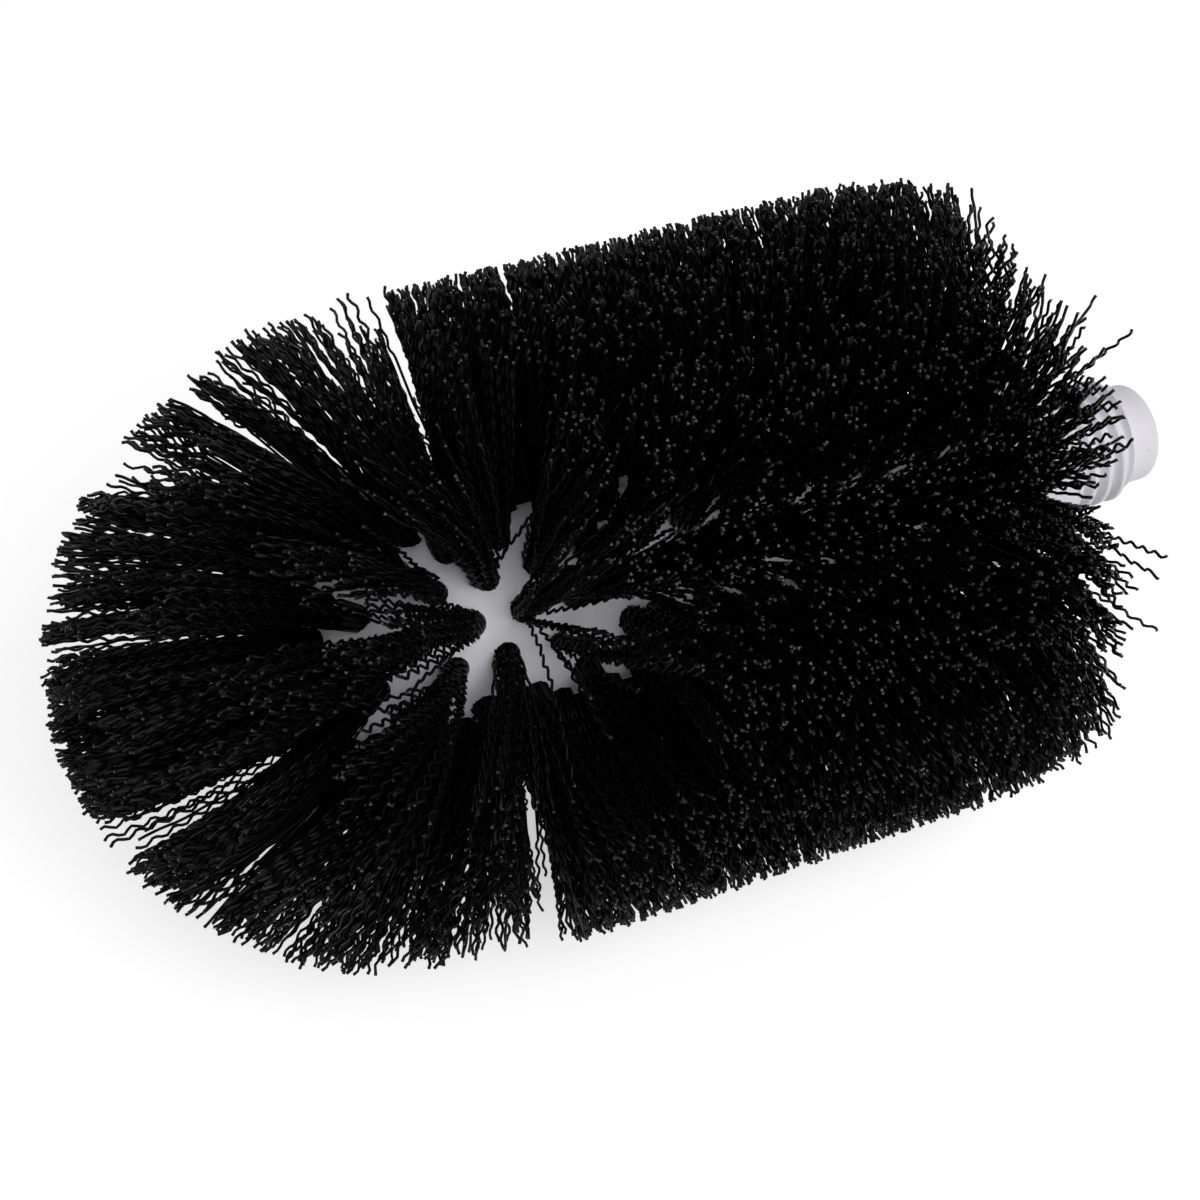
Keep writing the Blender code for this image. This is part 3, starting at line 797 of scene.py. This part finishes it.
def anchor_mesh(name):
    """The wire anchors that the CAD leaves out, each a flat box across the bottom of its hole."""
    holes = hole_places()
    s, radius, up, polar, depth = holes[~np.isin(holes[:, 5], CAD_ANCHOR_RINGS)][:, :5].T
    out = way(-np.cos(polar), np.sin(polar), up)
    along = way(np.sin(polar), np.cos(polar), up)
    side = np.cross(out, along)
    bottom = place(s, radius, up) - out * (depth - 0.1 * MM)[:, None]
    signs = np.array([(x, y, z) for x in (-1, 1) for y in (-1, 1) for z in (0, 1)], float)
    half = np.array([ANCHOR_LENGTH / 2, ANCHOR_THICKNESS / 2, ANCHOR_HEIGHT]) * signs
    corners = bottom[:, None] + np.einsum("ck,nkx->ncx", half, np.stack([along, side, out], axis=1))
    cube = np.array([(0, 1, 3, 2), (4, 6, 7, 5), (0, 4, 5, 1), (2, 3, 7, 6), (0, 2, 6, 4), (1, 5, 7, 3)])
    quads = (np.arange(len(s))[:, None, None] * 8 + cube).reshape(-1, 4)
    cells = math.ceil(math.sqrt(len(quads)))
    number = np.arange(len(quads))
    cell = np.stack([number % cells, number // cells], axis=-1)[:, None]
    uvs = (cell + np.array([(0.1, 0.1), (0.9, 0.1), (0.9, 0.9), (0.1, 0.9)])) / cells
    none = np.zeros((0, 3), int)
    return mesh_of(name, corners.reshape(-1, 3), quads, none, uvs.reshape(-1, 2), smooth=(False, False))


# Finishes


def new_finish(name, colour, roughness):
    """A material, its Principled shader, set to its mean colour and roughness, and its node tree."""
    made = bpy.data.materials.new(name)
    made.use_nodes = True
    shader = made.node_tree.nodes["Principled BSDF"]
    shader.inputs["Base Color"].default_value = (*colour, 1)
    shader.inputs["Roughness"].default_value = roughness
    return made, shader, made.node_tree


def node(tree, kind, **inputs):
    """A shader node with these inputs set."""
    made = tree.nodes.new(kind)
    for key, value in inputs.items():
        made.inputs[key.replace("_", " ")].default_value = value
    return made


def feed(tree, value, slot):
    """Links an output to an input, or sets the input to a number or a colour."""
    if isinstance(value, bpy.types.NodeSocket):
        tree.links.new(value, slot)
    else:
        slot.default_value = (*value, 1) if slot.type == "RGBA" else value


def worked_out(tree, operation, one, other):
    """The outcome of a sum of two numbers or outputs."""
    made = tree.nodes.new("ShaderNodeMath")
    made.operation = operation
    feed(tree, one, made.inputs[0])
    feed(tree, other, made.inputs[1])
    return made.outputs[0]


def attribute(tree, name):
    """The output of a number that a mesh stores."""
    made = tree.nodes.new("ShaderNodeAttribute")
    made.attribute_name = name
    return made.outputs["Fac"]


def object_noise(tree, scale, detail, stretch=None):
    """Noise on the object's own coordinates, stretched if three scales are given."""
    where = tree.nodes.new("ShaderNodeTexCoord").outputs["Object"]
    made = node(tree, "ShaderNodeTexNoise", Scale=scale, Detail=detail)
    if stretch:
        mapping = node(tree, "ShaderNodeMapping", Scale=stretch)
        feed(tree, where, mapping.inputs["Vector"])
        where = mapping.outputs["Vector"]
    feed(tree, where, made.inputs["Vector"])
    return made.outputs["Fac"]


def between(tree, share, one, other):
    """A colour between two others. Each is a colour or an output, share an output."""
    made = tree.nodes.new("ShaderNodeMix")
    made.data_type = "RGBA"
    feed(tree, share, made.inputs[0])
    feed(tree, one, made.inputs[6])
    feed(tree, other, made.inputs[7])
    return made.outputs[2]


def ranged(tree, value, low, high, start=0.0, stop=1.0):
    """A number carried over from start to stop on to low to high."""
    made = node(tree, "ShaderNodeMapRange", From_Min=start, From_Max=stop, To_Min=low, To_Max=high)
    feed(tree, value, made.inputs["Value"])
    return made.outputs["Result"]


def dress(tree, shader, colour, roughness, height, strength, distance):
    """Gives the shader its colour, its roughness and a bump."""
    bump = node(tree, "ShaderNodeBump", Strength=strength, Distance=distance)
    feed(tree, height, bump.inputs["Height"])
    inputs = {"Base Color": colour, "Roughness": roughness, "Normal": bump.outputs["Normal"]}
    for name, value in inputs.items():
        feed(tree, value, shader.inputs[name])


def black_filament_finish(values):
    """Black plastic filament, each a little lighter or darker, with paler cut ends and a streaky sheen."""
    mean = [(a + b) / 2 for a, b in zip(values.colour, values.light_colour)]
    made, shader, tree = new_finish("black_filament", mean, 0.34)
    grain = object_noise(tree, 1400.0, 3.0)
    shade = attribute(tree, "shade")
    body = between(tree, shade, values.colour, values.light_colour)
    worn = between(tree, ranged(tree, grain, 0.0, 1.0, 0.62, 0.8), body, values.light_colour)
    pale = worked_out(tree, "POWER", shade, 2.4)
    cut = between(tree, pale, [c * 0.1 for c in values.cut_colour], values.cut_colour)
    colour = between(tree, attribute(tree, "cut_end"), worn, cut)
    dress(tree, shader, colour, ranged(tree, grain, 0.24, 0.46), grain, 0.2, 0.03 * MM)
    shader.inputs["Specular IOR Level"].default_value = 0.12
    return made


def white_plastic_finish(values):
    """White turned and drilled plastic: slight clouding, specks, fine turning marks and a satin skin."""
    made, shader, tree = new_finish("white_plastic", values.colour, 0.42)
    cloud = object_noise(tree, 60.0, 4.0)
    specks = object_noise(tree, 2300.0, 1.0)
    marks = object_noise(tree, 1.0, 2.0, (4000.0, 60.0, 60.0))
    tones = between(tree, cloud, values.colour, values.cloud_colour)
    dusty = between(tree, ranged(tree, specks, 0.0, 0.5, 0.74, 0.78), tones, (0.2, 0.19, 0.19))
    dress(tree, shader, dusty, ranged(tree, marks, 0.34, 0.5), marks, 0.12, 0.05 * MM)
    return made


def anchor_wire_finish():
    """Flat drawn steel wire: fine streaks along its length and a brushed sheen."""
    made, shader, tree = new_finish("anchor_wire", (0.6, 0.59, 0.56), 0.34)
    streaks = object_noise(tree, 1.0, 3.0, (300.0, 6000.0, 6000.0))
    tones = between(tree, streaks, (0.50, 0.49, 0.46), (0.68, 0.67, 0.64))
    dress(tree, shader, tones, ranged(tree, streaks, 0.22, 0.45), streaks, 0.1, 0.02 * MM)
    shader.inputs["Metallic"].default_value = 1.0
    return made


def shown_white(tree, shading, strength):
    """Adds to a shader a glow that only the camera, gloss and clear materials see, which lights nothing."""
    path = tree.nodes.new("ShaderNodeLightPath")
    seen = path.outputs["Is Camera Ray"]
    for kind in ("Is Glossy Ray", "Is Transmission Ray"):
        seen = worked_out(tree, "MAXIMUM", seen, path.outputs[kind])
    glow = node(tree, "ShaderNodeEmission", Color=(1, 1, 1, 1))
    feed(tree, worked_out(tree, "MULTIPLY", seen, strength), glow.inputs["Strength"])
    both = tree.nodes.new("ShaderNodeAddShader")
    feed(tree, shading, both.inputs[0])
    feed(tree, glow.outputs[0], both.inputs[1])
    return both.outputs[0]


# Settings


def colour_setting(name, description, default):
    """A colour that can be picked in the panel."""
    return FloatVectorProperty(name=name, description=description, subtype="COLOR", default=default)


def length_setting(name, description, default):
    """A length that can be set in the panel."""
    return FloatProperty(name=name, description=description, unit="LENGTH", default=default)


class FilamentSettings(bpy.types.PropertyGroup):
    """The filament: its count, thickness, crimp and colours."""

    filaments_a_tuft: IntProperty(
        name="Filaments a tuft", description="How many filament ends a tuft shows", default=FULL_TUFT, min=4
    )
    thickness: length_setting("Thickness", "How thick one filament is", 0.45 * MM)
    crimp_pitch: length_setting("Crimp pitch", "Length of one wave of the crimp", 2.6 * MM)
    crimp_height: length_setting("Crimp height", "How far the crimp swings to one side", 0.37 * MM)
    colour: colour_setting("Darkest", "Colour of the darkest filaments", (0.0005, 0.0005, 0.0008))
    light_colour: colour_setting("Lightest", "Colour of the lightest filaments", (0.004, 0.004, 0.005))
    cut_colour: colour_setting("Cut ends", "Colour of the palest cut ends", (0.10, 0.10, 0.11))
    seed: IntProperty(name="Seed", description="Start of the random draws", default=7)


class BlockSettings(bpy.types.PropertyGroup):
    """The block's plastic."""

    colour: colour_setting("Plastic", "Colour of the white plastic", (0.80, 0.79, 0.83))
    cloud_colour: colour_setting("Clouding", "The plastic's darker cloudy places", (0.74, 0.72, 0.78))


class StageSettings(bpy.types.PropertyGroup):
    """The sky, the lamp and the camera."""

    sky: FloatProperty(name="Sky", description="Strength of the even light", default=0.35)
    key: FloatProperty(name="Key lamp", description="Power of the large lamp", default=7.8, unit="POWER")
    lens: FloatProperty(name="Lens", description="Focal length of the camera", default=60.1)


def add_piece(mesh, finish, slot, *nodes):
    """Links a piece with its finish, lets it ride on the part, and hides the CAD nodes that it stands for."""
    made = bpy.data.objects.new(mesh.name, mesh)
    bpy.context.scene.collection.objects.link(made)
    mesh.materials.append(finish)
    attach(made, BODY)
    if nodes:
        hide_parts(*nodes)


# Operators


class DRAINBRUSH_OT_block(bpy.types.Operator):
    """Draws the white block with its holes, thread and pilot"""

    bl_idname = "drain_brush.block"
    bl_label = "Block"

    def execute(self, context):
        finish = white_plastic_finish(context.scene.drain_brush_block)
        add_piece(block_mesh("block"), finish, "white_plastic", "brush_block", "handle_stub")
        return {"FINISHED"}


class DRAINBRUSH_OT_anchors(bpy.types.Operator):
    """Draws the anchors that the CAD leaves out, and gives all anchors their steel"""

    bl_idname = "drain_brush.anchors"
    bl_label = "Anchors"

    def execute(self, context):
        finish = anchor_wire_finish()
        add_piece(anchor_mesh("anchors_other_rings"), finish, "anchor_wire")
        for name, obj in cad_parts.items():
            if name.startswith("anchor_ring"):
                for slot in obj.material_slots:
                    slot.material = finish
        return {"FINISHED"}


class DRAINBRUSH_OT_tufts(bpy.types.Operator):
    """Draws every row's filaments"""

    bl_idname = "drain_brush.tufts"
    bl_label = "Tufts"

    def execute(self, context):
        values = context.scene.drain_brush_filament
        finish = black_filament_finish(values)
        nodes = sorted(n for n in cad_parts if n.startswith("tuft_row_"))
        for number, node_name in enumerate(nodes):
            rng = np.random.default_rng(values.seed + number)
            name = node_name.replace("tuft_row", "filaments")
            add_piece(filament_mesh(name, node_name, values, rng), finish, "black_filament", node_name)
        return {"FINISHED"}


class DRAINBRUSH_OT_stage(bpy.types.Operator):
    """Sets the floor, the lamp, the background and the camera"""

    bl_idname = "drain_brush.stage"
    bl_label = "Stage"

    def execute(self, context):
        scene = context.scene
        values = scene.drain_brush_stage
        make_floor()
        make_sky(scene, values.sky)
        lamp = bpy.data.lights.new("key_lamp", "AREA")
        lamp.size, lamp.energy = LAMP_SIZE, values.key
        aimed("key_lamp", lamp, LAMP_PLACE, LAMP_AIM)
        camera = bpy.data.cameras.new("camera")
        camera.lens, camera.sensor_width, camera.sensor_fit = values.lens, 36.0, "HORIZONTAL"
        camera.clip_start, camera.clip_end = 0.01, 20.0
        scene.camera = aimed("camera", camera, EYE, AIM)
        scene.view_settings.view_transform = "Standard"
        return {"FINISHED"}


def make_floor():
    """A wide pale floor that keeps the brush's shadow."""
    mesh = bpy.data.meshes.new("floor")
    far = 6.0
    mesh.from_pydata([(-far, -far, 0), (far, -far, 0), (far, far, 0), (-far, far, 0)], [], [(0, 1, 2, 3)])
    finish, shader, tree = new_finish("pale_floor", (0.8, 0.8, 0.8), 0.9)
    shader.inputs["Specular IOR Level"].default_value = 0.0
    output = tree.nodes["Material Output"]
    tree.links.new(shown_white(tree, shader.outputs[0], FLOOR_GLOW), output.inputs["Surface"])
    mesh.materials.append(finish)
    floor = bpy.data.objects.new("floor", mesh)
    bpy.context.scene.collection.objects.link(floor)


def make_sky(scene, strength):
    """Even white light from all round, which the camera sees as plain white."""
    world = bpy.data.worlds.new("soft_sky")
    world.use_nodes = True
    tree = world.node_tree
    ground = tree.nodes["Background"]
    ground.inputs["Color"].default_value = (1, 1, 1, 1)
    ground.inputs["Strength"].default_value = strength
    seen = shown_white(tree, ground.outputs[0], 1.0 - strength)
    tree.links.new(seen, tree.nodes["World Output"].inputs["Surface"])
    scene.world = world


def aimed(name, data, where, at):
    """Links a lamp or a camera that looks at a point."""
    made = bpy.data.objects.new(name, data)
    made.location = where
    made.rotation_euler = (Vector(at) - Vector(where)).to_track_quat("-Z", "Y").to_euler()
    bpy.context.scene.collection.objects.link(made)
    return made


class DRAINBRUSH_PT_panel(bpy.types.Panel):
    """Lists the pieces of the brush and their settings"""

    bl_idname = "DRAINBRUSH_PT_panel"
    bl_label = "Drain Brush"
    bl_space_type = "VIEW_3D"
    bl_region_type = "UI"
    bl_category = "Drain Brush"

    def draw(self, context):
        for owner, (kind, *operators) in SETTINGS.items():
            box = self.layout.box()
            for name in kind.__annotations__:
                box.prop(getattr(context.scene, owner), name)
            for idname in operators:
                box.operator(idname)


# Each group of settings and its operators
SETTINGS = {
    "drain_brush_block": (BlockSettings, "drain_brush.block", "drain_brush.anchors"),
    "drain_brush_filament": (FilamentSettings, "drain_brush.tufts"),
    "drain_brush_stage": (StageSettings, "drain_brush.stage"),
}
CLASSES = (
    *(kind for kind, *_ in SETTINGS.values()),
    DRAINBRUSH_OT_block,
    DRAINBRUSH_OT_anchors,
    DRAINBRUSH_OT_tufts,
    DRAINBRUSH_OT_stage,
    DRAINBRUSH_PT_panel,
)


def register():
    """Adds the settings, operators and panel."""
    for made in CLASSES:
        bpy.utils.register_class(made)
    for name, (kind, *_) in SETTINGS.items():
        setattr(bpy.types.Scene, name, PointerProperty(type=kind))


def unregister():
    """Takes them away again."""
    for name in SETTINGS:
        delattr(bpy.types.Scene, name)
    for made in reversed(CLASSES):
        bpy.utils.unregister_class(made)


def main():
    """Makes the brush and its stage."""
    register()
    bpy.ops.drain_brush.block()
    bpy.ops.drain_brush.anchors()
    bpy.ops.drain_brush.tufts()
    bpy.ops.drain_brush.stage()


if __name__ == "__main__":
    main()
